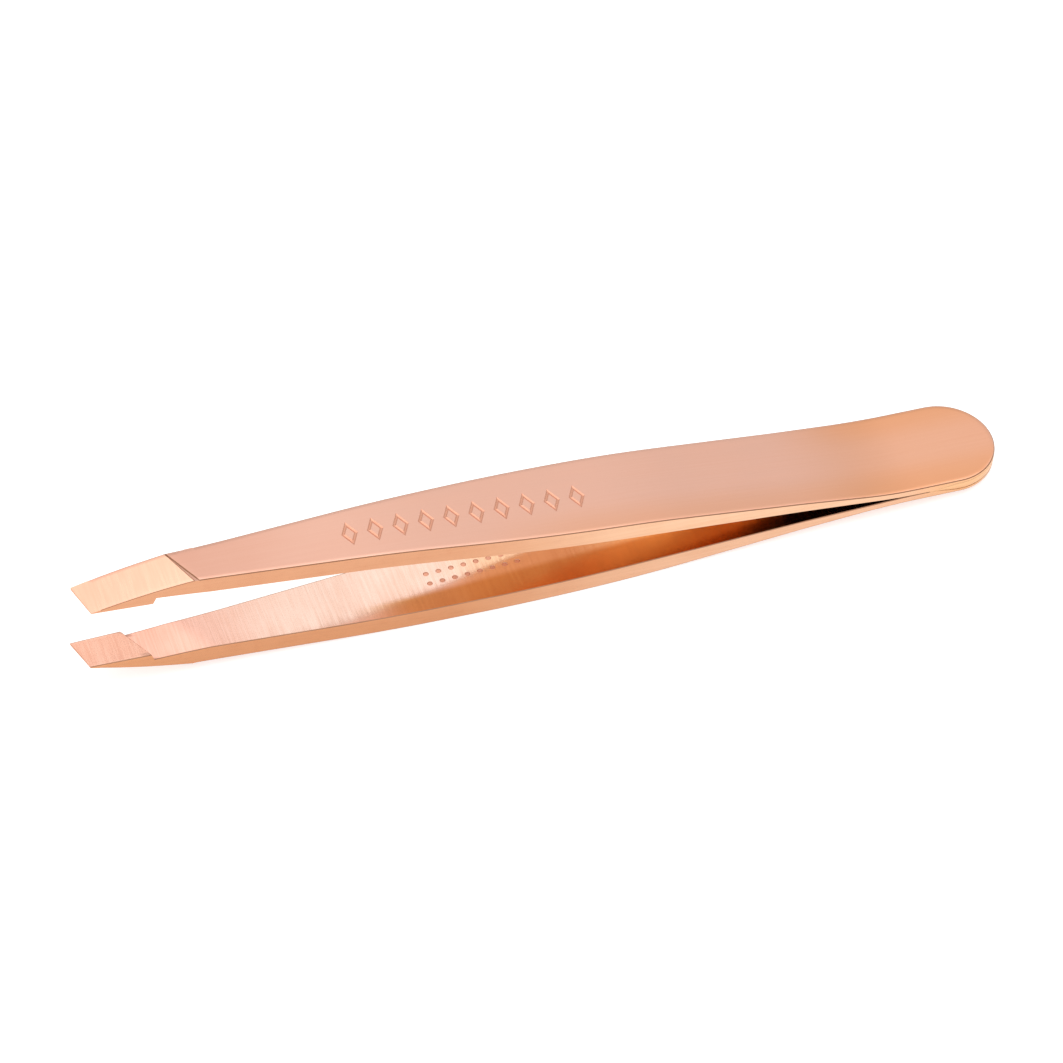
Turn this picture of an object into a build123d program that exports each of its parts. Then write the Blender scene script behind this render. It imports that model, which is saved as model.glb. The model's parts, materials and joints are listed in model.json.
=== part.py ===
from build123d import *

import os
from math import cos, radians, sin, tan

# Slant-tip tweezers. Two stamped and ground spring-steel arms lie face to face at
# the heel, where one welded bead round the end joins them, and splay apart
# towards the slanted tips. Each arm is split across its thin root, where the
# strip bends, so that the blade can swing in on a hinge that stands for the bend.
#
# Distances called x are measured along the tweezers from the end of the heel.
# Heights called z are measured from the middle plane, which the arms mirror in.

# Overall sizes, in mm and degrees
length = 96.0                 # heel end to the long corner of the tips
heel_radius = 5.25            # round end of the heel, half the greatest width
heel_thickness = 0.78         # one arm, where the two lie face to face
blade_thickness = 1.95        # one arm, along the finger pads

# Side view
parting = 11.2                # x where the inner faces leave one another
splay = 4.0                   # each blade's angle to the middle plane
knee = 64.7                   # x where the inner face turns towards the tip
tip_splay = 1.06              # the angle beyond the knee
root_start = 12.9             # x where the outer face starts to rise
root_rise = 6.9               # angle of the outer face over the root
parting_bend = 70.0           # radii of the bends in the strip
root_bend = 50.0
shoulder_bend = 150.0
knee_bend = 200.0

# Plan view, as half widths at distances from the heel
neck = 13.0
waist = 22.0
waist_half = 5.03
shoulder = 48.6
shoulder_half = 4.79
nose_length = 11.5            # from the tips back to where the taper eases
nose_half_short = 2.15        # on the side with the short corner
nose_half_long = 1.95         # on the side with the long corner
tip_half = 1.79
waist_round = 120.0
shoulder_round = 250.0
nose_round = 150.0

# Slanted tips
tip_slant = 16.6              # the end edge, in plan
tip_thickness = 0.20
pad_proud = 0.43              # the tip's inner edge stands in from the blade's face
pad_length = 5.55             # raised gripping pad, along the centre line
pad_slant = 29.0
pad_rise = 0.023              # slope of the pad towards the tip
step_height = 0.72            # pad above the hollow behind it
step_run = 0.25               # how far the step leans back
hollow_slope = 0.083          # hollow grind behind the pad
pad_blank = 2.7               # length of pad that the hollow grinds away
bevel_length = 9.75           # outer bevel, along the centre line
bevel_slant = 27.0
bevel_bulge = 0.18            # how far the bevel stands proud of a straight grind

# Heel weld
weld_depth = 1.3
weld_half = 0.45

# Hinge that stands for the bend of each root
hinge = 16.0

# Stamped ornaments
stamp_depth = 0.07
lozenge_count = 10
lozenge_pitch = 2.62
lozenge_width = 1.7
lozenge_height = 3.1
lozenge_line = 0.34           # width of its outline
lozenge_middle = 56.6         # x of the row's middle, on the outer face
dot_rows = 2
dot_columns = 8
dot_pitch = 1.3
dot_radius = 0.28
dot_middle = 55.3             # x of the dots' middle, on the inner face

# Worked-out places
tip_middle = length - tip_half * tan(radians(tip_slant))
pad_ridge = tip_middle - pad_length
bevel_ridge = tip_middle - bevel_length
blade_slope = tan(radians(splay))
tip_slope = tan(radians(tip_splay))
root_slope = tan(radians(root_rise))
blade_lift = blade_thickness / cos(radians(splay))
knee_height = blade_slope * (knee - parting)
root_end = (blade_lift - heel_thickness - blade_slope * parting + root_slope * root_start)
root_end = root_end / (root_slope - blade_slope)
tip_lift = blade_thickness / cos(radians(tip_splay))
tip_height = knee_height + tip_slope * (tip_middle - knee) - pad_proud
outer_knee = knee + (tip_lift - blade_lift) / (blade_slope - tip_slope)
beyond = 2 * heel_radius      # spare length on cutting tools


def blade_inner(x):
    """Height of the straight inner face between the parting and the knee."""
    return blade_slope * (x - parting)


def nose_inner(x):
    """Height of the inner face beyond the knee."""
    return knee_height + tip_slope * (x - knee)


def root_outer(x):
    """Height of the outer face over the tapering root."""
    return heel_thickness + root_slope * (x - root_start)


def pad_inner(x):
    """Height of the gripping pad."""
    return tip_height - pad_rise * (tip_middle - x)


# The tweezers lie on the flat of the lower blade, which puts their middle plane at
# the splay angle. X runs from the tips to the heel, and the origin is under the
# middle of the length.
lie = radians(splay)
lower_tip = length * cos(lie) + (tip_height + tip_thickness) * sin(lie)
heel_x = (lower_tip - heel_thickness * sin(lie)) / 2
heel_z = blade_thickness - parting * sin(lie)
middle = Plane(origin=(heel_x, 0, heel_z), x_dir=(-cos(lie), 0, sin(lie)), z_dir=(sin(lie), 0, cos(lie)))
side = Plane(origin=middle.origin, x_dir=middle.x_dir, z_dir=middle.x_dir.cross(middle.z_dir))
hinge_cut = Plane(origin=middle.from_local_coords((hinge, 0, 0)), x_dir=-middle.y_dir, z_dir=middle.x_dir)


def slanted(x, angle):
    """Side view plane through the centre line at x, turned in plan by an angle."""
    ahead = middle.x_dir.rotate(Axis((0, 0, 0), middle.z_dir), angle)
    return Plane(
        origin=middle.from_local_coords((x, 0, 0)),
        x_dir=ahead,
        z_dir=ahead.cross(middle.z_dir),
    )


def outer_line(drop):
    """Corners of the outer face, sunk by a drop."""
    return [
        (0, heel_thickness - drop),
        (root_start, heel_thickness - drop),
        (root_end, root_outer(root_end) - drop),
        (outer_knee, blade_inner(outer_knee) + blade_lift - drop),
        (length + beyond, nose_inner(length + beyond) + tip_lift - drop),
    ]


outer_bends = [root_bend, shoulder_bend, knee_bend]

# Round bead of weld along the edge of the heel, ground flush
with BuildPart() as heel_weld:
    with BuildSketch(
        Plane(
            origin=middle.from_local_coords((heel_radius, 0, 0)),
            x_dir=middle.y_dir,
            z_dir=middle.y_dir.cross(middle.z_dir),
        )
    ):
        with BuildLine():
            Polyline(
                (heel_radius, -weld_half),
                (heel_radius, weld_half),
                (heel_radius - weld_depth, 0),
                close=True,
            )
        make_face()
    revolve(
        axis=Axis(middle.from_local_coords((heel_radius, 0, 0)), middle.z_dir),
        revolution_arc=180,
    )

# One whole arm, the upper one, before it is divided at the hinge
with BuildPart() as whole_arm:
    pad_start = pad_ridge - pad_blank
    with BuildSketch(side):
        with BuildLine():
            FilletPolyline(*outer_line(0), radius=outer_bends)
            FilletPolyline(
                (0, 0),
                (parting, 0),
                (knee, knee_height),
                (pad_start, nose_inner(pad_start)),
                radius=[parting_bend, knee_bend],
            )
            Polyline(
                (pad_start, nose_inner(pad_start)),
                (pad_start, pad_inner(pad_start)),
                (length + beyond, pad_inner(length + beyond)),
                (length + beyond, nose_inner(length + beyond) + tip_lift),
            )
            Line((0, 0), (0, heel_thickness))
        make_face()
    extrude(amount=beyond, both=True)
    with BuildSketch(middle):
        with BuildLine():
            ThreePointArc((heel_radius, heel_radius), (0, 0), (heel_radius, -heel_radius))
            for sign, nose_half in ((1, nose_half_short), (-1, nose_half_long)):
                FilletPolyline(
                    (heel_radius, sign * heel_radius),
                    (neck, sign * heel_radius),
                    (waist, sign * waist_half),
                    (shoulder, sign * shoulder_half),
                    (length - nose_length, sign * nose_half),
                    (tip_middle - sign * tip_half * tan(radians(tip_slant)), sign * tip_half),
                    radius=[waist_round, waist_round, shoulder_round, nose_round],
                )
            Line(
                (tip_middle - tip_half * tan(radians(tip_slant)), tip_half),
                (tip_middle + tip_half * tan(radians(tip_slant)), -tip_half),
            )
        make_face()
    extrude(amount=length, mode=Mode.INTERSECT)
    # outer bevel, ground to a slanted ridge
    with BuildSketch(slanted(bevel_ridge, bevel_slant)):
        reach = bevel_length * cos(radians(bevel_slant))
        ridge_top = nose_inner(bevel_ridge) + tip_lift
        tip_top = tip_height + tip_thickness
        with BuildLine():
            SagittaArc((0, ridge_top), (reach, tip_top), bevel_bulge)
            Polyline(
                (reach, tip_top),
                (reach + beyond, tip_top - beyond * (ridge_top - tip_top) / reach),
                (reach + beyond, ridge_top + beyond),
                (0, ridge_top + beyond),
                (0, ridge_top),
            )
        make_face()
    extrude(amount=beyond, both=True, mode=Mode.SUBTRACT)
    # hollow behind the raised pad, ending in a step
    with BuildSketch(slanted(pad_ridge, pad_slant)):
        pad_height = pad_inner(pad_ridge)
        base = pad_height + step_height
        with BuildLine():
            Polyline(
                (0, pad_height),
                (-step_run, base),
                (-beyond, base - hollow_slope * (beyond - step_run)),
                (-beyond, 0),
                (0, 0),
                close=True,
            )
        make_face()
    extrude(amount=beyond, both=True, mode=Mode.SUBTRACT)

with BuildPart() as upper_heel_leaf:
    add(whole_arm.part)
    split(bisect_by=hinge_cut, keep=Keep.BOTTOM)
    add(heel_weld.part, mode=Mode.SUBTRACT)

with BuildPart() as lower_heel_leaf:
    mirror(upper_heel_leaf.part, about=middle)

# Row of lozenge outlines stamped in the upper arm's outer face
with BuildPart() as lozenges:
    with BuildSketch(side):
        with BuildLine():
            FilletPolyline(*outer_line(0), radius=outer_bends)
            FilletPolyline(*outer_line(stamp_depth), radius=outer_bends)
            Line(outer_line(0)[0], outer_line(stamp_depth)[0])
            Line(outer_line(0)[-1], outer_line(stamp_depth)[-1])
        make_face()
    extrude(amount=heel_radius, both=True)
    with BuildSketch(middle):
        with Locations((lozenge_middle, 0)):
            with GridLocations(lozenge_pitch, 1, lozenge_count, 1):
                Polygon(
                    (-lozenge_width / 2, 0),
                    (0, -lozenge_height / 2),
                    (lozenge_width / 2, 0),
                    (0, lozenge_height / 2),
                )
        offset(amount=-lozenge_line, mode=Mode.SUBTRACT)
    extrude(amount=length, mode=Mode.INTERSECT)

with BuildPart() as upper_arm:
    add(whole_arm.part)
    split(bisect_by=hinge_cut, keep=Keep.TOP)
    add(lozenges.part, mode=Mode.SUBTRACT)

# The lower arm carries two rows of dots stamped in its inner face
with BuildPart() as lower_arm:
    add(whole_arm.part)
    split(bisect_by=hinge_cut, keep=Keep.TOP)
    with BuildSketch(
        Plane(
            origin=middle.from_local_coords((dot_middle, 0, blade_inner(dot_middle))),
            x_dir=middle.x_dir * cos(lie) + middle.z_dir * sin(lie),
            z_dir=middle.z_dir * cos(lie) - middle.x_dir * sin(lie),
        )
    ):
        with GridLocations(dot_pitch, dot_pitch, dot_columns, dot_rows):
            Circle(dot_radius)
    extrude(amount=stamp_depth, mode=Mode.SUBTRACT)
    mirror(about=middle, mode=Mode.REPLACE)

heel_weld.part.label = "heel_weld"
upper_heel_leaf.part.label = "upper_heel_leaf"
lower_heel_leaf.part.label = "lower_heel_leaf"
upper_arm.part.label = "upper_arm"
lower_arm.part.label = "lower_arm"

os.makedirs("parts", exist_ok=True)
for piece in (heel_weld, upper_heel_leaf, lower_heel_leaf, upper_arm, lower_arm):
    export_step(piece.part, f"parts/{piece.part.label}.step")
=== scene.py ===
"""Looks for the slant-tip tweezers: two brushed rose-gold arms welded at the heel.

Each arm is one continuous piece that bends over its thin root, and the bead of
weld round the heel is a piece of its own. Lengths in the making functions are
in millimetres, in the tweezers' own frame: x runs from the heel's end to the
tips, y to the side of the short corner, and z up from the middle plane.
"""

import json
from math import acos, cos, pi, radians, sin, sqrt, tan

import bmesh
import bpy
from mathutils import Matrix, Vector


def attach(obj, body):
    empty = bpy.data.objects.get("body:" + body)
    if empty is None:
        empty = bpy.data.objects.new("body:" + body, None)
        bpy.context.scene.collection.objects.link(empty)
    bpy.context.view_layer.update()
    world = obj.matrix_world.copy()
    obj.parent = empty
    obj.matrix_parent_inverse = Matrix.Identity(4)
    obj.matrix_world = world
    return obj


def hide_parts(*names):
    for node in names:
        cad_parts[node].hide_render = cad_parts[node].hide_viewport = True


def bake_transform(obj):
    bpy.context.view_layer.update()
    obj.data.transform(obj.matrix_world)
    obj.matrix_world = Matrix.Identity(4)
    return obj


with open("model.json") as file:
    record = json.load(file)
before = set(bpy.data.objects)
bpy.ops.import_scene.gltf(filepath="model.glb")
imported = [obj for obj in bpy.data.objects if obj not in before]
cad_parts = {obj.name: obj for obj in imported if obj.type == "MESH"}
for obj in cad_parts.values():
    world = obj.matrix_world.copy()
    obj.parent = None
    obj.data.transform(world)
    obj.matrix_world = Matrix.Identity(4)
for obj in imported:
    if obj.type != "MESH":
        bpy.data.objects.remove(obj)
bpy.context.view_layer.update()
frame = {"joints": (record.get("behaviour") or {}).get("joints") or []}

MM = 0.001
NEAR = 1e-4  # slack when places are compared, in mm

# Outline of one arm, in plan and from the side
LENGTH = 96.0
HEEL_RADIUS = 5.25
HEEL_THICKNESS = 0.78
BLADE_THICKNESS = 1.95
PARTING = 11.2
KNEE = 64.7
TIP_SPLAY = radians(1.06)
ROOT_START = 12.9
ROOT_RISE = radians(6.9)
NECK = 13.0
WAIST, WAIST_HALF = 22.0, 5.03
SHOULDER, SHOULDER_HALF = 48.6, 4.79
NOSE_LENGTH = 11.5
NOSE_HALF = {1: 2.15, -1: 1.95}
TIP_HALF = 1.79
TIP_SLANT = radians(16.6)
TIP_THICKNESS = 0.20
PAD_PROUD = 0.43
PAD_LENGTH, PAD_SLANT, PAD_RISE = 5.55, radians(29.0), 0.023
STEP_HEIGHT, STEP_RUN = 0.72, 0.25
HOLLOW_SLOPE = 0.083
BEVEL_LENGTH, BEVEL_SLANT, BEVEL_BULGE = 9.75, radians(27.0), 0.18
WELD_DEPTH, WELD_HALF = 1.3, 0.45
HINGE = 16.0
SPLAY = radians(4.0)

# Radii of the bends and corners, from the heel to the tip
OUTLINE_RADII = (120, 120, 250, 150)
INNER_RADII = (70, 200)
OUTER_RADII = (50, 150, 200)

# The middle plane lies between the two hinges, one on each arm's inner face
hinges = {j["child"]: Vector(j["pos_m"]) for j in frame["joints"]}
up = (hinges["upper_arm"] - hinges["lower_arm"]).normalized()
ahead = up.cross(Vector((0, 1, 0)))
if ahead.x > 0:
    ahead = -ahead
sideways = up.cross(ahead)
heel_end = (hinges["upper_arm"] + hinges["lower_arm"]) / 2 - ahead * HINGE * MM

# Worked-out places
TIP_MIDDLE = LENGTH - TIP_HALF * tan(TIP_SLANT)
PAD_RIDGE = TIP_MIDDLE - PAD_LENGTH
BEVEL_RIDGE = TIP_MIDDLE - BEVEL_LENGTH
KNEE_HEIGHT = tan(SPLAY) * (KNEE - PARTING)
TIP_HEIGHT = KNEE_HEIGHT + tan(TIP_SPLAY) * (TIP_MIDDLE - KNEE) - PAD_PROUD
BLADE_LIFT = BLADE_THICKNESS / cos(SPLAY)
TIP_LIFT = BLADE_THICKNESS / cos(TIP_SPLAY)
ROOT_END = (BLADE_LIFT - HEEL_THICKNESS - tan(SPLAY) * PARTING + tan(ROOT_RISE) * ROOT_START) / (
    tan(ROOT_RISE) - tan(SPLAY)
)
OUTER_KNEE = KNEE + (TIP_LIFT - BLADE_LIFT) / (tan(SPLAY) - tan(TIP_SPLAY))
END_HEIGHT = KNEE_HEIGHT + tan(TIP_SPLAY) * (LENGTH - KNEE)
RIDGE_TOP = KNEE_HEIGHT + tan(TIP_SPLAY) * (BEVEL_RIDGE - KNEE) + TIP_LIFT
STEP_FOOT = PAD_RIDGE - STEP_RUN / cos(PAD_SLANT)


def to_row(mirrored=False):
    """Matrix from the tweezers' own frame, in mm, to the row frame, in metres."""
    lift = -up if mirrored else up
    turn = Matrix((ahead, sideways, lift)).transposed().to_4x4()
    return Matrix.Translation(heel_end) @ turn @ Matrix.Scale(MM, 4)


def eased_line(x, corners, radii):
    """Height at x of a broken line whose inner corners are rounded to the radii."""
    slopes = [(b[1] - a[1]) / (b[0] - a[0]) for a, b in zip(corners, corners[1:])]
    for corner, before, after, radius in zip(corners[1:-1], slopes, slopes[1:], radii):
        reach = radius * abs(after - before) / 2
        past = x - corner[0] + reach
        if x < corner[0] + reach:
            height = corner[1] + before * (x - corner[0])
            if past > 0:
                height += (after - before) * past * past / (4 * reach)
            return height
    return corners[-1][1] + slopes[-1] * (x - corners[-1][0])


def half_width(x, sign):
    """Half the arm's width at x, on the side of the short (1) or long (-1) corner."""
    if x < HEEL_RADIUS:
        return sqrt(max(HEEL_RADIUS**2 - (HEEL_RADIUS - x) ** 2, 0))
    corners = [
        (HEEL_RADIUS, HEEL_RADIUS),
        (NECK, HEEL_RADIUS),
        (WAIST, WAIST_HALF),
        (SHOULDER, SHOULDER_HALF),
        (LENGTH - NOSE_LENGTH, NOSE_HALF[sign]),
        (TIP_MIDDLE - sign * TIP_HALF * tan(TIP_SLANT), TIP_HALF),
    ]
    return eased_line(x, corners, OUTLINE_RADII)


def inner_face(x):
    """Height of the strip's inner face, which bends where the arms part and at the knee."""
    corners = [(0, 0), (PARTING, 0), (KNEE, KNEE_HEIGHT), (LENGTH, END_HEIGHT)]
    return eased_line(x, corners, INNER_RADII)


def outer_face(x):
    """Height of the strip's outer face, thin at the root and full along the blade."""
    corners = [
        (0, HEEL_THICKNESS),
        (ROOT_START, HEEL_THICKNESS),
        (ROOT_END, HEEL_THICKNESS + tan(ROOT_RISE) * (ROOT_END - ROOT_START)),
        (OUTER_KNEE, tan(SPLAY) * (OUTER_KNEE - PARTING) + BLADE_LIFT),
        (LENGTH, END_HEIGHT + TIP_LIFT),
    ]
    return eased_line(x, corners, OUTER_RADII)


def bevel_surface(x, y):
    """Height of the crowned outer bevel, ground to a ridge that runs aslant."""
    reach = BEVEL_LENGTH * cos(BEVEL_SLANT)
    share = ((x - BEVEL_RIDGE) * cos(BEVEL_SLANT) + y * sin(BEVEL_SLANT)) / reach
    fall = TIP_HEIGHT + TIP_THICKNESS - RIDGE_TOP
    return RIDGE_TOP + fall * share + 4 * BEVEL_BULGE * share * max(1 - share, 0)


def pad_distance(x, y):
    """Distance ahead of the pad's slanted ridge."""
    return (x - PAD_RIDGE) * cos(PAD_SLANT) + y * sin(PAD_SLANT)


def pad_surface(x):
    """Height of the pad's gripping face."""
    return TIP_HEIGHT - PAD_RISE * (TIP_MIDDLE - x)


def outer_height(x, y):
    """Height of the outer side above the middle plane: the face or, near the tip, the bevel."""
    flat = outer_face(x)
    if x < BEVEL_RIDGE - NOSE_LENGTH:
        return flat
    return min(flat, bevel_surface(x, y))


def inner_height(x, y):
    """Height of the inner side: the face, the hollow behind the pad, its step, and the pad."""
    distance = pad_distance(x, y)
    if distance > -NEAR:
        return pad_surface(x)
    base = pad_surface(PAD_RIDGE) + STEP_HEIGHT
    if distance > NEAR - STEP_RUN:
        return pad_surface(PAD_RIDGE) - STEP_HEIGHT * distance / STEP_RUN
    hollow = base + HOLLOW_SLOPE * (distance + STEP_RUN)
    return max(inner_face(x), hollow)


# How far the rings of the mesh lean, as x per y, where the slanted grinds are
BEVEL_FALL = RIDGE_TOP - TIP_HEIGHT - TIP_THICKNESS - 4 * BEVEL_BULGE
BEVEL_START = BEVEL_FALL / (BEVEL_LENGTH * cos(BEVEL_SLANT))
RIDGE_LEAN = BEVEL_START * sin(BEVEL_SLANT) / (tan(TIP_SPLAY) + BEVEL_START * cos(BEVEL_SLANT))
PAD_LEAN, TIP_LEAN = tan(PAD_SLANT), tan(TIP_SLANT)
LEAN_START = 70.0
OUTER_LEANS = [(LEAN_START, 0), (BEVEL_RIDGE, RIDGE_LEAN), (TIP_MIDDLE, TIP_LEAN)]
INNER_LEANS = [(LEAN_START, 0), (STEP_FOOT, PAD_LEAN), (PAD_RIDGE, PAD_LEAN), (TIP_MIDDLE, TIP_LEAN)]

# Finishing details
COINCIDENT = 0.001            # corners this close are one corner
EDGE_BREAK = 0.09             # chamfer along the inner edges
EDGE_HEIGHT = 0.055           # height of that chamfer
EDGE_ROUND = 0.085            # rounding of the outer edges
TIP_ROUND = 0.05              # rounding of the same edges along the bevel
LINE_ROUND = 0.035            # rounding of the ridge, the step and the grinding line
RIM = 0.45                    # width of the polished rim beside each edge
RIM_WORN = 0.6                # share of its width that is worn
WELD_FADE = (HEEL_RADIUS, 8.6)  # where the welded V thins out
GROOVE = (0.5, 0.06)          # grinding line behind the ridge, at its two ends
GROOVE_DEPTH = 0.06
GROOVE_WALL = 0.05            # run of its steep side
SHARP = 0.9                   # angle, in radians, from which an edge of the blade is broken
SLIGHT = 0.08                 # angle from which a line across the nose is
NOSE_BACK = 1.4               # how far behind the ridge's middle the bevel's edges begin
SHADED_FLAT = radians(24)     # angle from which an edge stays crisp
# the LINE slot holds the dark line finish of broken edges and grinding lines, a painted shade
OUTER, INNER, EDGE, BEVEL, PAD, STAMP, LINE = range(7)
FINE, COARSE = 0.4, 0.9       # steps between the sections, at the root and along the blade
ROOT_MARKS = (12.0, 25.0)     # two sections of the root; the steps are fine before the first
HEEL_STEPS, WELD_STEPS = 36, 90
FLAT_ON = 0.9                 # how far up or down a face that can be stamped has to look
UPWARD, DOWNWARD = 0.55, -0.4  # and how far the outer and inner faces do
CHAMFERED = 0.45              # how far aside an inner chamfer looks

# The section's corners, once round: face, side of the middle, and whether it is set in from the edge
CORNERS = [
    ("outer", 1, 0), ("outer", 1, 1), ("outer", 0, 0), ("outer", -1, 1), ("outer", -1, 0),
    ("side", -1, 0),
    ("inner", -1, 0), ("inner", -1, 1), ("inner", 0, 0), ("inner", 1, 1), ("inner", 1, 0),
    ("side", 1, 0),
]


def lean_at(x, points):
    """How far a section leans at x, between the given places."""
    for (x0, lean0), (x1, lean1) in zip(points, points[1:]):
        if x < x1:
            return lean0 + (lean1 - lean0) * max(x - x0, 0) / (x1 - x0)
    return points[-1][1]


def notch(x):
    """Depth and half height of the chamfer along the inner edge, deepest at the weld."""
    share = min(max((WELD_FADE[1] - x) / (WELD_FADE[1] - WELD_FADE[0]), 0), 1)
    share = share * share * (3 - 2 * share)
    return EDGE_BREAK + (WELD_DEPTH - EDGE_BREAK) * share, EDGE_HEIGHT + (WELD_HALF - EDGE_HEIGHT) * share


def plan_point(x, lean, side, inset):
    """Place in plan on a leaning section, inset from the outline on one side (0 is the middle)."""
    place, across = x, 0.0
    for _ in range(4 if side else 0):
        across = side * (half_width(place, side) - inset)
        place = x - across * lean
    return place, across


def section_corner(section, corner):
    """Place of a corner of a section, given as its x and lean outside, x and lean inside, and drop."""
    outer_x, outer_lean, inner_x, inner_lean, drop = section
    face, side, set_in = CORNERS[corner]
    if face == "outer":
        x, y = plan_point(outer_x, outer_lean, side, set_in * RIM)
        return Vector((x, y, outer_height(x, y) - drop))
    depth, height = notch(inner_x)
    if face == "inner":
        x, y = plan_point(inner_x, inner_lean, side, set_in * RIM + depth)
        return Vector((x, y, inner_height(x, y)))
    x, y = plan_point(inner_x, inner_lean, side, 0)
    return Vector((x, y, inner_height(x, y) + height))


def even(start, end, step):
    """Places from start up to, but not at, end, about a step apart."""
    count = max(1, round((end - start) / step))
    return [start + (end - start) * i / count for i in range(count)]


def sections_along(stamped):
    """The sections that the blade is drawn out through, with extra ones where it is stamped."""
    root = [HEEL_RADIUS, WELD_FADE[1], *ROOT_MARKS]
    tip = [LEAN_START, BEVEL_RIDGE, STEP_FOOT, PAD_RIDGE, TIP_MIDDLE]
    marks = sorted(root + stamped + tip)
    places = []
    for start, end in zip(marks, marks[1:]):
        places += even(start, end, FINE if end < ROOT_MARKS[0] else COARSE)
    sections = [(x, lean_at(x, OUTER_LEANS), x, lean_at(x, INNER_LEANS), 0) for x in places + [TIP_MIDDLE]]
    # the grinding line behind the ridge takes two more, which lie closer to it at the long side
    ridge = next(i for i, section in enumerate(sections) if section[0] > BEVEL_RIDGE - NEAR)
    back = sum(GROOVE) / 2
    lean = RIDGE_LEAN + (GROOVE[0] - GROOVE[1]) / (2 * NOSE_HALF[1])
    for ahead_by, drop in ((0, 0), (GROOVE_WALL, GROOVE_DEPTH)):
        x = BEVEL_RIDGE - back + ahead_by
        sections.insert(ridge, (x, lean, x, lean_at(x, INNER_LEANS), drop))
        ridge += 1
    return sections


def spun_round(bm, corners, steps):
    """Spins a face round the end of the heel and returns the face, and the last one of the spin."""
    first = bm.faces.new([bm.verts.new(place) for place in corners])
    made = bmesh.ops.spin(
        bm, geom=[first, *first.edges, *first.verts], cent=(HEEL_RADIUS, 0, 0), axis=(0, 0, 1), angle=pi,
        steps=steps, use_duplicate=False,
    )["geom_last"]
    return first, next(g for g in made if isinstance(g, bmesh.types.BMFace))


def drawn_on(bm, cap):
    """Extrudes a cap where it stands and returns the new one."""
    made = bmesh.ops.extrude_face_region(bm, geom=[cap])["geom"]
    bmesh.ops.delete(bm, geom=[cap], context="FACES_ONLY")
    return next(g for g in made if isinstance(g, bmesh.types.BMFace))


def round_heel(bm):
    """Spins the half section round the end of the heel and returns the flat cap that is left."""
    half = [corner for corner, (_, side, _) in enumerate(CORNERS) if side >= 0]
    start = (HEEL_RADIUS, 0, HEEL_RADIUS, 0, 0)
    spun_round(bm, [section_corner(start, corner) for corner in half], HEEL_STEPS)
    bmesh.ops.remove_doubles(bm, verts=bm.verts, dist=NEAR)
    caps = [f for f in bm.faces if all(abs(v.co.x - HEEL_RADIUS) < COINCIDENT for v in f.verts)]
    return bmesh.ops.dissolve_faces(bm, faces=caps)["region"][0]


def drawn_out(stamped):
    """One blank: the round heel, and the blade extruded from it through all its sections."""
    bm = bmesh.new()
    cap = round_heel(bm)
    corner = bm.verts.layers.int.new("corner")
    sections = sections_along(stamped)
    for v in cap.verts:
        gaps = [(v.co - section_corner(sections[0], i)).length for i in range(len(CORNERS))]
        v[corner] = gaps.index(min(gaps))
    for section in sections[1:]:
        cap = drawn_on(bm, cap)
        for v in cap.verts:
            v.co = section_corner(section, v[corner])
    bmesh.ops.recalc_face_normals(bm, faces=bm.faces)
    return bm


def faces_between(bm, x0, x1, facing):
    """The inner rows of faces that lie between two places, on the outer (1) or inner (-1) face."""
    found = []
    for f in bm.faces:
        x, y, _ = f.calc_center_median()
        if x0 < x < x1 and f.normal.z * facing > FLAT_ON and abs(y) < half_width(x, 1) - 2 * RIM:
            found.append(f)
    return found


def nearest(faces, place):
    """The face whose middle lies nearest to a place."""
    return min(faces, key=lambda f: (f.calc_center_median() - place).length)


def cut(bm, faces, point, normal):
    """Cuts the faces along a line and returns all the pieces."""
    # each edge and corner once, in an order that is the same on every run
    edges = dict.fromkeys(e for f in faces for e in f.edges)
    verts = dict.fromkeys(v for f in faces for v in f.verts)
    made = bmesh.ops.bisect_plane(
        bm, geom=[*faces, *edges, *verts], dist=NEAR, plane_co=point, plane_no=normal
    )
    return [g for g in made["geom"] if isinstance(g, bmesh.types.BMFace)]


def rounded(bm, face, radius):
    """Rounds a marked face's corners and returns the face."""
    middle = face.calc_center_median()
    bmesh.ops.bevel(
        bm, geom=list(face.verts), offset=radius, segments=3, profile=0.5, affect="VERTICES", material=-1
    )
    return nearest(bm.faces, middle)


def press(bm, face, steps):
    """Presses a marked face in: each step gives an inset and a depth."""
    face.material_index = STAMP
    for inset, depth in steps:
        made = bmesh.ops.inset_region(bm, faces=[face], thickness=inset, depth=-depth, use_even_offset=True)
        for f in made["faces"]:
            f.material_index = STAMP


LOZENGES, LOZENGE_PITCH, LOZENGE_MIDDLE = 10, 2.62, 56.6
LOZENGE_HALF, LOZENGE_LINE = (0.85, 1.55), 0.34
DOT_ROWS, DOT_COLUMNS, DOT_PITCH, DOT_MIDDLE, DOT_RADIUS = 2, 8, 1.3, 55.3, 0.28
DOT_CORNER = 0.9 * DOT_RADIUS  # rounding that turns a square into a dot
STAMP_DEPTH, STAMP_WALL, DOT_WALL = 0.07, 0.12, 0.05


def row_of(count, pitch, middle):
    """Places of a row of equal steps."""
    return [middle + (i - (count - 1) / 2) * pitch for i in range(count)]


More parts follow.
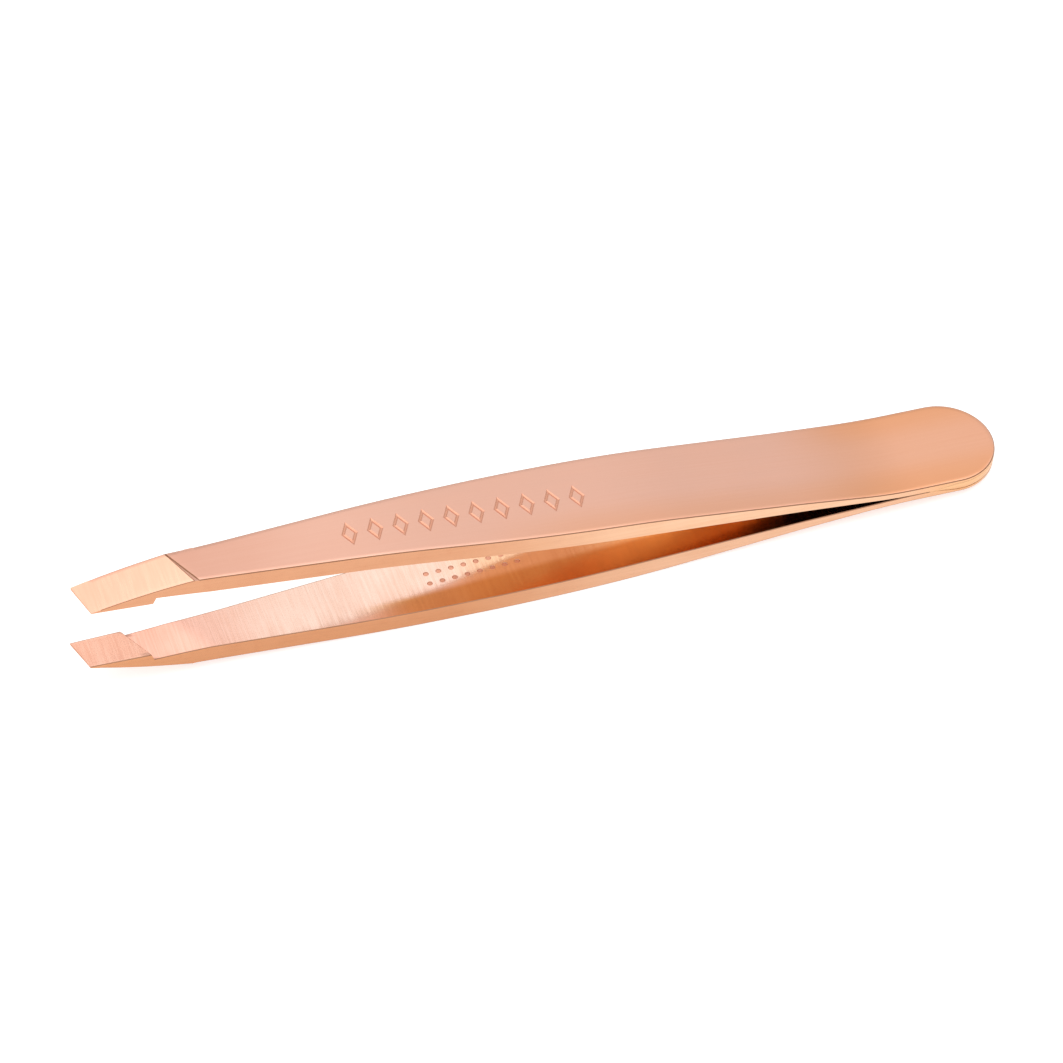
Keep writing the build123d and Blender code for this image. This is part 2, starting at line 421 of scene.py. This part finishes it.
def stamp_lozenges(bm):
    """A row of lozenge outlines stamped in the outer face."""
    across, high = LOZENGE_HALF
    flat = LOZENGE_LINE - 2 * STAMP_WALL
    for x in row_of(LOZENGES, LOZENGE_PITCH, LOZENGE_MIDDLE):
        quarters = []
        for ahead_by in (-1, 1):
            for side in (-1, 1):
                low, top = sorted((x, x + ahead_by * across))
                cell = [f for f in faces_between(bm, low, top, 1) if f.calc_center_median().y * side > 0]
                normal = (ahead_by * high, side * across, 0)
                pieces = cut(bm, cell, (x + ahead_by * across, 0, 0), normal)
                middle = Vector((x, 0))
                quarters.append(min(pieces, key=lambda f: (f.calc_center_median().xy - middle).length))
        lozenge = bmesh.ops.dissolve_faces(bm, faces=quarters)["region"][0]
        press(bm, lozenge, [(STAMP_WALL, STAMP_DEPTH), (flat, 0), (STAMP_WALL, -STAMP_DEPTH)])
        island = nearest(bm.faces, Vector((x, 0, outer_face(x))))
        island.material_index = OUTER


def stamp_dots(bm):
    """Two rows of dots stamped in the inner face."""
    for x in row_of(DOT_COLUMNS, DOT_PITCH, DOT_MIDDLE):
        for y in row_of(DOT_ROWS, DOT_PITCH, 0):
            cell = [
                f for f in faces_between(bm, x - DOT_RADIUS, x + DOT_RADIUS, -1)
                if f.calc_center_median().y * y > 0
            ]
            for edge in (-DOT_RADIUS, DOT_RADIUS):
                cell = cut(bm, cell, (0, y + edge, 0), (0, 1, 0))
            dot = min(cell, key=lambda f: abs(f.calc_center_median().y - y))
            press(bm, rounded(bm, dot, DOT_CORNER), [(DOT_WALL, STAMP_DEPTH)])


def crease(edge):
    """Angle between an edge's two faces, in radians."""
    return edge.calc_face_angle(0)


def broken(bm, edges, width, segments):
    """Rounds edges over and gives them the dull, dark line finish, a painted shade along the edge."""
    bmesh.ops.bevel(
        bm, geom=edges, offset=width, segments=segments, profile=0.5, affect="EDGES", material=LINE
    )


def round_edges(bm):
    """Breaks the outer edges, and the ridge, step and grinding line that cross the nose."""
    def reach(e, axis):
        """The places along one axis between which an edge runs."""
        return sorted(v.co[axis] for v in e.verts)

    outer = [
        e for e in bm.edges
        if crease(e) > SHARP and max(f.normal.z for f in e.link_faces) > 0.7
        and all(f.material_index != STAMP for f in e.link_faces)
    ]
    nose_start = BEVEL_RIDGE - NOSE_BACK
    blade = [e for e in outer if reach(e, 0)[1] < nose_start]
    nose = [e for e in outer if reach(e, 0)[0] > nose_start and reach(e, 0)[1] < TIP_MIDDLE - 1]
    broken(bm, blade, EDGE_ROUND, 3)
    broken(bm, nose, TIP_ROUND, 2)
    # what runs across more than along, past the back of the bevel and short of the very tip
    across = []
    for e in bm.edges:
        (low_x, high_x), (low_y, high_y) = reach(e, 0), reach(e, 1)
        crosses = high_y - low_y > 1.2 * (high_x - low_x) > 0.05
        if crosses and crease(e) > SLIGHT and BEVEL_RIDGE - 2 < low_x and high_x < TIP_MIDDLE - 1.2:
            if all(abs(f.normal.y) < 0.6 and f.material_index != LINE for f in e.link_faces):
                across.append(e)
    broken(bm, across, LINE_ROUND, 2)


def mark_regions(bm):
    """Gives each face the finish that its grind leaves."""
    for f in bm.faces:
        if f.material_index in (STAMP, LINE):
            continue
        x, y, _ = f.calc_center_median()
        if f.normal.z > UPWARD:
            ground = x > BEVEL_RIDGE - 2 and bevel_surface(x, y) < outer_face(x) + 0.002
            f.material_index = BEVEL if ground else OUTER
        elif f.normal.z < DOWNWARD and abs(f.normal.y) > CHAMFERED:
            # inner chamfers past the weld get the dark line finish: painted shade along the edge
            f.material_index = LINE if x > WELD_FADE[1] else EDGE
        elif f.normal.z < DOWNWARD:
            f.material_index = PAD if pad_distance(x, y) > -0.01 else INNER
        else:
            f.material_index = EDGE


def outline_run(x):
    """Distance along the outline at x, so that the grain on the edge follows round the heel."""
    if x < HEEL_RADIUS:
        return HEEL_RADIUS * (1 - pi / 2 + acos(min((HEEL_RADIUS - x) / HEEL_RADIUS, 1)))
    return x


GRAIN_SPAN = 100.0            # millimetres across the grain's map
GRAIN_SHIFT = (2.0, 8.0)      # where the map starts, behind the heel and beside the middle
EDGE_SHIFT = 8.0              # keeps the edge's grain clear of the faces' on the map


def grain_at(run, across):
    """Place on the grain's map."""
    return (run + GRAIN_SHIFT[0]) / GRAIN_SPAN, (across + GRAIN_SHIFT[1]) / GRAIN_SPAN


def map_grain(bm):
    """Lays the map that the grain follows, and marks the worn rims."""
    grain = bm.loops.layers.uv.new("grain")
    rim = bm.verts.layers.float.new("rim")
    for v in bm.verts:
        side = 1 if v.co.y > 0 else -1
        if v.co.x < HEEL_RADIUS:
            depth = HEEL_RADIUS - (v.co.xy - Vector((HEEL_RADIUS, 0))).length
        else:
            depth = half_width(v.co.x, side) - abs(v.co.y)
        v[rim] = 1.0 if depth < RIM * RIM_WORN else 0.0
    for f in bm.faces:
        on_edge = f.material_index == EDGE
        for loop in f.loops:
            x, y, z = loop.vert.co
            loop[grain].uv = grain_at(outline_run(x), z + EDGE_SHIFT) if on_edge else grain_at(x, y)


def make_arm(name, stamp, marks, mirrored, finishes):
    """A finished arm: drawn out, stamped, its edges broken, and put in its place."""
    bm = drawn_out(marks)
    stamp(bm)
    round_edges(bm)
    bmesh.ops.remove_doubles(bm, verts=bm.verts, dist=COINCIDENT)
    mark_regions(bm)
    map_grain(bm)
    for e in bm.edges:
        e.smooth = crease(e) < SHADED_FLAT
    for f in bm.faces:
        f.smooth = True
    bm.transform(to_row(mirrored))
    if mirrored:
        bmesh.ops.reverse_faces(bm, faces=bm.faces)
    return finished(name, bm, finishes)


def finished(name, bm, finishes):
    """Turns a mesh into a piece with its finishes and smooth shading."""
    mesh = bpy.data.meshes.new(name)
    bm.to_mesh(mesh)
    bm.free()
    for finish in finishes:
        mesh.materials.append(finish)
    piece = bpy.data.objects.new(name, mesh)
    bpy.context.scene.collection.objects.link(piece)
    weighted = piece.modifiers.new("flat faces stay flat", "WEIGHTED_NORMAL")
    weighted.keep_sharp = True
    weighted.weight = 90
    return piece


WELD_CROWN = 0.03             # how proud the bead's middle stands
WELD_LAP = 0.02               # how far it laps each leaf
WELD_ROOT = 0.05              # how far it reaches into the joint
WELD_SHOULDER = (0.004, 0.65)  # how proud its shoulders stand, and how far up they lie
WELD_SUNK = 0.005             # how far its middle sinks where it thins out
WELD_STEP, WELD_PAST = 0.25, 0.3  # steps of its ends, and how far they run past the V


def weld_section(x, side):
    """The bead's wedge at x: its crown, shoulders and laps outside, and its root inside."""
    depth, height = notch(x)
    place, edge = plan_point(x, 0, side, 0)
    crown = WELD_CROWN * height / WELD_HALF - WELD_SUNK
    shoulder, share = WELD_SHOULDER
    profile = [
        (crown, 0),
        (shoulder, height * share),
        (-WELD_CROWN, height + WELD_LAP),
        (-(depth + WELD_ROOT), 0),
        (-WELD_CROWN, -height - WELD_LAP),
        (shoulder, -height * share),
    ]
    return [Vector((place, edge + side * proud, z)) for proud, z in profile]


def make_weld(finish):
    """The bead round the heel: a wedge spun half round, proud by a hair, with its ends drawn thin."""
    bm = bmesh.new()
    index = bm.verts.layers.int.new("place")
    first, last = spun_round(bm, weld_section(HEEL_RADIUS, 1), WELD_STEPS)
    for side, cap in ((1, first), (-1, last)):
        corners = weld_section(HEEL_RADIUS, side)
        for v in cap.verts:
            gaps = [(v.co - corner).length for corner in corners]
            v[index] = gaps.index(min(gaps))
        for x in even(HEEL_RADIUS + WELD_STEP, WELD_FADE[1] + WELD_PAST, WELD_STEP):
            cap = drawn_on(bm, cap)
            for v in cap.verts:
                v.co = weld_section(x, side)[v[index]]
    bmesh.ops.recalc_face_normals(bm, faces=bm.faces)
    grain = bm.loops.layers.uv.new("grain")
    for f in bm.faces:
        f.smooth = True
        for loop in f.loops:
            x, y, z = loop.vert.co
            loop[grain].uv = grain_at(outline_run(x), z)
    bm.transform(to_row())
    return finished("weld_bead", bm, [finish])


# ---- materials -------------------------------------------------------------

def fill(tree, made, inputs):
    """Fills a node's inputs from values or from other nodes' outputs."""
    for key, value in inputs:
        if isinstance(value, bpy.types.NodeSocket):
            tree.links.new(value, made.inputs[key])
        else:
            made.inputs[key].default_value = value


def node(tree, kind, *inputs, **settings):
    """Adds a node, sets its properties and fills its inputs."""
    made = tree.nodes.new("ShaderNode" + kind)
    for key, value in settings.items():
        setattr(made, key, value)
    fill(tree, made, inputs)
    return made


def maths(tree, operation, *values):
    """The result of a sum on one or more values."""
    return node(tree, "Math", *enumerate(values), operation=operation).outputs[0]


def mapped(tree, value, low, high, to_low, to_high):
    """A value eased from one range to another."""
    pairs = enumerate((value, low, high, to_low, to_high))
    return node(tree, "MapRange", *pairs, clamp=True, interpolation_type="SMOOTHSTEP").outputs[0]


def noise(tree, place, scale, detail, roughness=0.5):
    """A noise pattern's strength at a place."""
    return node(
        tree, "TexNoise", ("Vector", place), ("Scale", scale), ("Detail", detail), ("Roughness", roughness)
    ).outputs[0]


def new_group(name, inputs, outputs):
    """An empty group, with what it is given and what it gives."""
    tree = bpy.data.node_groups.new(name, "ShaderNodeTree")
    for key, kind, value in inputs:
        made = tree.interface.new_socket(key, in_out="INPUT", socket_type="NodeSocket" + kind)
        if value is not None:
            made.default_value = value
    for key, kind in outputs:
        tree.interface.new_socket(key, in_out="OUTPUT", socket_type="NodeSocket" + kind)
    given = tree.nodes.new("NodeGroupInput")
    result = tree.nodes.new("NodeGroupOutput")
    return tree, given.outputs, result.inputs


def brush_group():
    """Scratches of a brushed finish, from a place in mm: fine lines, and broader streaks."""
    tree, given, result = new_group(
        "brush_marks",
        [("Place", "Vector", None), ("Length", "Float", 6.0), ("Width", "Float", 0.05)],
        [("Lines", "Float"), ("Streaks", "Float")],
    )
    parts = node(tree, "SeparateXYZ", (0, given["Place"])).outputs
    made = []
    for times_long, times_wide, detail in ((1.0, 1.0, 3.0), (2.0, 4.0, 2.0)):
        along = maths(tree, "DIVIDE", parts[0], maths(tree, "MULTIPLY", given["Length"], times_long))
        across = maths(tree, "DIVIDE", parts[1], maths(tree, "MULTIPLY", given["Width"], times_wide))
        place = node(tree, "CombineXYZ", (0, along), (1, across)).outputs[0]
        made.append(noise(tree, place, 1.0, detail, 0.6))
    tree.links.new(made[0], result["Lines"])
    tree.links.new(made[1], result["Streaks"])
    return tree


def patina_group():
    """Soft clouds and fine specks in the plating, from a place in metres."""
    tree, given, result = new_group(
        "patina",
        [("Place", "Vector", None), ("Size", "Float", 180.0)],
        [("Clouds", "Float"), ("Specks", "Float")],
    )
    tree.links.new(noise(tree, given["Place"], given["Size"], 3.0), result["Clouds"])
    tree.links.new(noise(tree, given["Place"], 5200.0, 2.0), result["Specks"])
    return tree


def rim_group():
    """Mask of the rim that handling has polished, broken up along its length."""
    tree, given, result = new_group(
        "worn_rim", [("Rim", "Float", 0.0), ("Place", "Vector", None)], [("Mask", "Float")]
    )
    uneven = mapped(tree, noise(tree, given["Place"], 900.0, 2.0), 0.3, 0.7, -0.12, 0.12)
    ragged = maths(tree, "ADD", given["Rim"], uneven)
    tree.links.new(mapped(tree, ragged, 0.45, 1.0, 0.0, 1.0), result["Mask"])
    return tree


groups = {"brush": brush_group(), "patina": patina_group(), "rim": rim_group()}


def use(tree, group, *inputs):
    """The outputs of one of the groups, put to use."""
    made = tree.nodes.new("ShaderNodeGroup")
    made.node_tree = groups[group]
    fill(tree, made, inputs)
    return made.outputs


def mixed(tree, share, first, second, blend="MIX"):
    """Two colours blended by a share: the mix node takes colours in its inputs 6 and 7."""
    made = tree.nodes.new("ShaderNodeMix")
    made.data_type = "RGBA"
    made.blend_type = blend
    fill(tree, made, ((0, share), (6, first), (7, second)))
    return made.outputs[2]


NOISE_SPAN = (0.3, 0.7)        # most of a noise's strength lies between these
MARK_SPAN = (0.35, 0.65)       # and most of a brush mark's
SPECK_SPAN = (0.62, 0.75)      # only the strongest specks show
CLOUD_SHARE, MARK_SHARE, SPECK_SHARE = 0.4, 0.3, 0.1
DEEPER = (0.86, 0.72, 0.64, 1)  # what the dark strokes and clouds multiply the plate's colour by


def toned(tree, base, along, side, tones, tints):
    """The plate's colour with its tones, each after the last, and then its tints."""
    for colour, start, end in tones:
        base = mixed(tree, mapped(tree, along, start, end, 0, 1), base, (*colour, 1))
    for colour, (start, end), both_sides, (inside, outside), least in tints:
        beside = maths(tree, "ABSOLUTE", side) if both_sides else side
        beside = mapped(tree, beside, inside, outside, least, 1.0)
        share = maths(tree, "MULTIPLY", beside, mapped(tree, along, start, end, 1.0, 0.0))
        base = mixed(tree, share, base, (*colour, 1))
    return base


def weathered(tree, base, marks, patina, tone):
    """The colour darkened by clouds, streaks and fine lines, and by a few specks."""
    shade = mapped(tree, patina["Clouds"], *NOISE_SPAN, 0, CLOUD_SHARE)
    for mark in (marks["Streaks"], marks["Lines"]):
        shade = maths(tree, "ADD", shade, mapped(tree, mark, *MARK_SPAN, 0, MARK_SHARE))
    base = mixed(tree, maths(tree, "MULTIPLY", shade, tone), base, DEEPER, "MULTIPLY")
    specks = mapped(tree, patina["Specks"], *SPECK_SPAN, 0, SPECK_SHARE)
    return mixed(tree, specks, base, DEEPER, "MULTIPLY")


def plated(
    name, colour, rough, lines, bump,
    tone=0.3, across=False, anisotropy=0.5, tones=(), tints=(), polish=0.35,
):
    """Rose-gold plate over steel: its colour, the two ends of its roughness, and its brush marks.

    The lines are the brush marks' length and width, and the bump is their strength and height, in mm. Each of
    the tones takes over between two places along the blade. Each of the tints fades out between two places
    along the blade, and in from the first to the second place across it, from its least share. The rims are
    polished by the last value.
    """
    material = bpy.data.materials.new(name)
    material.use_nodes = True
    tree = material.node_tree
    shader = tree.nodes["Principled BSDF"]
    shader.inputs["Metallic"].default_value = 1.0
    shader.inputs["Anisotropic"].default_value = anisotropy
    shader.inputs["Anisotropic Rotation"].default_value = 0.25 if across else 0.0
    tangent = node(tree, "Tangent", direction_type="UV_MAP", uv_map="grain").outputs[0]
    tree.links.new(tangent, shader.inputs["Tangent"])

    grain = node(tree, "UVMap", uv_map="grain").outputs[0]
    quarter_turn = pi / 2 if across else 0
    turned = node(
        tree, "Mapping", ("Vector", grain), ("Rotation", (0, 0, quarter_turn)), ("Scale", (GRAIN_SPAN,) * 3)
    ).outputs[0]
    along, side = node(tree, "SeparateXYZ", (0, grain)).outputs[:2]
    along = maths(tree, "MULTIPLY_ADD", along, GRAIN_SPAN, -GRAIN_SHIFT[0])
    side = maths(tree, "MULTIPLY_ADD", side, GRAIN_SPAN, -GRAIN_SHIFT[1])
    here = node(tree, "TexCoord").outputs["Object"]
    rim = node(tree, "Attribute", attribute_name="rim").outputs["Fac"]
    marks = use(tree, "brush", ("Place", turned), ("Length", lines[0]), ("Width", lines[1]))
    patina = use(tree, "patina", ("Place", here))
    worn = use(tree, "rim", ("Rim", rim), ("Place", here))[0]

    base = toned(tree, (*colour, 1), along, side, tones, tints)
    base = weathered(tree, base, marks, patina, tone)
    bright = tuple(min(1, c * 1.06 + 0.02) for c in colour)
    base = mixed(tree, maths(tree, "MULTIPLY", worn, polish), base, (*bright, 1))
    tree.links.new(base, shader.inputs["Base Color"])

    smoother = maths(tree, "MULTIPLY", worn, -0.1 * polish)
    spread = maths(tree, "ADD", mapped(tree, marks["Streaks"], *NOISE_SPAN, *rough), smoother)
    spread = maths(tree, "ADD", spread, mapped(tree, patina["Clouds"], *NOISE_SPAN, -0.02, 0.02))
    tree.links.new(spread, shader.inputs["Roughness"])

    strength, height_mm = bump
    height = maths(tree, "ADD", marks["Lines"], maths(tree, "MULTIPLY", patina["Specks"], 0.25))
    pressed = node(tree, "Bump", ("Height", height), ("Strength", strength), ("Distance", height_mm * MM))
    tree.links.new(pressed.outputs[0], shader.inputs["Normal"])
    return material


def outer_finish():
    """Brushed along, rosier where it is handled, and more orange at the heel where the weld heated it; that
    tint grows deeper towards both sides, and the deeper sides are painted shade, as a crowned face would
    show.
    """
    # orange tone at the heel from the weld, deepest at both sides: the deeper sides are painted shade
    heat_tone_and_side_shade = ((0.74, 0.36, 0.20), (12, 24), True, (0.8, 5.0), 0.55)
    handled = ((0.76, 0.41, 0.28), (44, 60), False, (0.5, 4.5), 0.0)
    return plated(
        "outer_face_brushed", (0.77, 0.455, 0.355), (0.30, 0.36), (9.0, 0.08), (0.06, 0.02), tone=0.2,
        tones=[((0.71, 0.395, 0.30), 70, 86)], tints=[handled, heat_tone_and_side_shade],
    )


def inner_finish():
    """Polished and brushed lightly across. The browner tones between the root and the finger pads, and the
    deep orange on one side before the pads, are painted reflection of the other arm's underside, which this
    face mirrors.
    """
    return plated(
        "inner_face_cross_brushed", (0.93, 0.72, 0.52), (0.09, 0.15), (4.0, 0.08), (0.35, 0.02),
        tone=0.75, across=True, anisotropy=0.6, polish=0.0,
        # painted reflection: these tones along the blade and the one-sided tint below darken the face where
        # it mirrors the other arm
        tones=[((0.79, 0.50, 0.325), 36, 46), ((0.83, 0.61, 0.52), 53, 59), ((0.72, 0.41, 0.33), 73, 88)],
        tints=[((0.65, 0.34, 0.145), (62, 69), False, (1.3, 2.2), 0.0)],
    )


def edge_finish_and_painted_shade(arm):
    """Ground edge, lighter round the root and deep copper along the blade, with the lower arm's edge a little
    darker and more orange than the upper arm's: this colour is painted shade, standing in for the darker
    surroundings and floor shadow that the edges mirror.
    """
    # painted shade: the lower arm's edge, nearer the floor, gets darker and more orange colours than the
    # upper arm's
    root = (0.80, 0.53, 0.375) if arm == "upper" else (0.77, 0.49, 0.35)
    blade = (0.555, 0.24, 0.135) if arm == "upper" else (0.555, 0.22, 0.095)
    return plated(
        f"edge_ground_and_painted_shade_{arm}", (0.75, 0.44, 0.245), (0.22, 0.30), (14.0, 0.09), (0.35, 0.03), tone=0.8,
        # the root tone lightens the edge by the heel; the blade tone turns it deep copper towards the tips, a
        # painted shade for the darker surroundings the curved edge mirrors
        tones=[(root, 7, 11), (blade, 36, 60)],
    )


def bevel_finish():
    """Ground across, and a little deeper towards the tip."""
    return plated(
        "tip_bevel_ground", (0.82, 0.485, 0.355), (0.26, 0.34), (2.5, 0.08), (0.12, 0.02), tone=0.3,
        across=True, tones=[((0.82, 0.445, 0.325), 87, 92)], polish=0.0,
    )


def pad_finish():
    """Scratched across, so that the pad grips."""
    return plated(
        "grip_pad_scratched", (0.82, 0.49, 0.38), (0.18, 0.30), (3.0, 0.05), (0.4, 0.025),
        tone=0.9, across=True,
    )


def stamp_finish():
    """A little duller than the face round it."""
    return plated("stamped_mark", (0.72, 0.36, 0.25), (0.26, 0.34), (1.0, 0.1), (0.1, 0.02), anisotropy=0.0)


def dark_line_finish_painted_shade():
    """Broken edges and grinding lines, dull, and painted dark: a painted shade that draws a thin dark line
    along each.
    """
    material = plated(
        "edge_line_painted_shade", (0.30, 0.15, 0.09), (0.34, 0.44), (5.0, 0.05), (0.05, 0.02), anisotropy=0.0
    )
    shader = material.node_tree.nodes["Principled BSDF"]
    shader.inputs["Specular Tint"].default_value = (0.45, 0.30, 0.22, 1)
    return material


def weld_finish():
    """Ground flush and plated."""
    return plated("weld_ground_flush", (0.78, 0.47, 0.26), (0.22, 0.32), (2.0, 0.1), (0.15, 0.02), tone=0.5)


# ---- the pieces ------------------------------------------------------------

outer, inner, bevel, pad, stamped, line = (
    outer_finish(), inner_finish(), bevel_finish(), pad_finish(), stamp_finish(), dark_line_finish_painted_shade()
)
# where a section has to pass, on each side of a stamp and through its points
lozenge_marks = [
    x + step
    for x in row_of(LOZENGES, LOZENGE_PITCH, LOZENGE_MIDDLE)
    for step in (-LOZENGE_HALF[0], 0, LOZENGE_HALF[0])
]
dot_marks = [
    x + step for x in row_of(DOT_COLUMNS, DOT_PITCH, DOT_MIDDLE) for step in (-DOT_RADIUS, DOT_RADIUS)
]

for arm, stamp, marks, mirrored in (
    ("upper", stamp_lozenges, lozenge_marks, False),
    ("lower", stamp_dots, dot_marks, True),
):
    finishes = [outer, inner, edge_finish_and_painted_shade(arm), bevel, pad, stamped, line]
    blade = make_arm(f"{arm}_blade", stamp, marks, mirrored, finishes)
    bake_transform(blade)
    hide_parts(f"{arm}_heel_leaf", f"{arm}_arm")

weld = make_weld(weld_finish())
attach(weld, "heel")
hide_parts("heel_weld")


# ---- floor, light and camera -----------------------------------------------

FLOOR_RADIUS, FLOOR_GLOW = 3.0, 0.6
CARD_GREYS = ((0.59, 0.59, 0.59, 1), (0.61, 0.61, 0.61, 1))


def make_floor():
    """A pale card that glows, so that the tweezers leave almost no shadow on it."""
    bm = bmesh.new()
    bmesh.ops.create_circle(bm, cap_ends=True, segments=64, radius=FLOOR_RADIUS)
    mesh = bpy.data.meshes.new("floor")
    bm.to_mesh(mesh)
    bm.free()
    material = bpy.data.materials.new("pale_card")
    material.use_nodes = True
    tree = material.node_tree
    shader = tree.nodes["Principled BSDF"]
    fibres = noise(tree, node(tree, "TexCoord").outputs["Object"], 400.0, 2.0)
    tree.links.new(mixed(tree, fibres, *CARD_GREYS), shader.inputs["Base Color"])
    shader.inputs["Roughness"].default_value = 0.9
    shader.inputs["Specular IOR Level"].default_value = 0.2
    shader.inputs["Emission Color"].default_value = (1, 1, 1, 1)
    shader.inputs["Emission Strength"].default_value = FLOOR_GLOW
    mesh.materials.append(material)
    floor = bpy.data.objects.new("floor", mesh)
    bpy.context.scene.collection.objects.link(floor)


SKY_EDGE = (sin(radians(43)), sin(radians(53)))  # heights between which the sky grows brighter
SKY_STRENGTH = (0.88, 1.75)
SKY_COLOUR = (1, 0.985, 0.965, 1)


def make_sky():
    """Even studio light from all round, brighter overhead."""
    world = bpy.data.worlds.new("studio")
    bpy.context.scene.world = world
    world.use_nodes = True
    tree = world.node_tree
    height = node(tree, "SeparateXYZ", (0, node(tree, "TexCoord").outputs["Generated"])).outputs[2]
    strength = mapped(tree, height, *SKY_EDGE, *SKY_STRENGTH)
    background = tree.nodes["Background"]
    background.inputs["Color"].default_value = SKY_COLOUR
    tree.links.new(strength, background.inputs["Strength"])


VIEW_YAW, VIEW_HEIGHT = radians(18.894), radians(48.853)
VIEW_DISTANCE, VIEW_LENS = 550.14 * MM, 188.03
VIEW_ASIDE, VIEW_UP = -1.6285 * MM, -0.0442 * MM
VIEW_CENTRE = 47.5


def make_camera():
    """The camera, aimed at the middle of the tweezers from above and a little to one side."""
    data = bpy.data.cameras.new("camera")
    data.sensor_width = 36.0
    data.lens = VIEW_LENS
    data.clip_start, data.clip_end = 0.05, 20.0
    camera = bpy.data.objects.new("camera", data)
    bpy.context.scene.collection.objects.link(camera)
    right = Vector((cos(VIEW_YAW), -sin(VIEW_YAW), 0))
    level = cos(VIEW_HEIGHT)
    back = Vector((-level * sin(VIEW_YAW), -level * cos(VIEW_YAW), sin(VIEW_HEIGHT)))
    over = back.cross(right)
    aim = to_row() @ Vector((VIEW_CENTRE, 0, 0)) + right * VIEW_ASIDE + over * VIEW_UP
    turn = Matrix((right, over, back)).transposed().to_4x4()
    camera.matrix_world = Matrix.Translation(aim + back * VIEW_DISTANCE) @ turn
    bpy.context.scene.camera = camera


make_floor()
make_sky()
make_camera()
bpy.context.scene.view_settings.view_transform = "Standard"

bpy.context.view_layer.update()
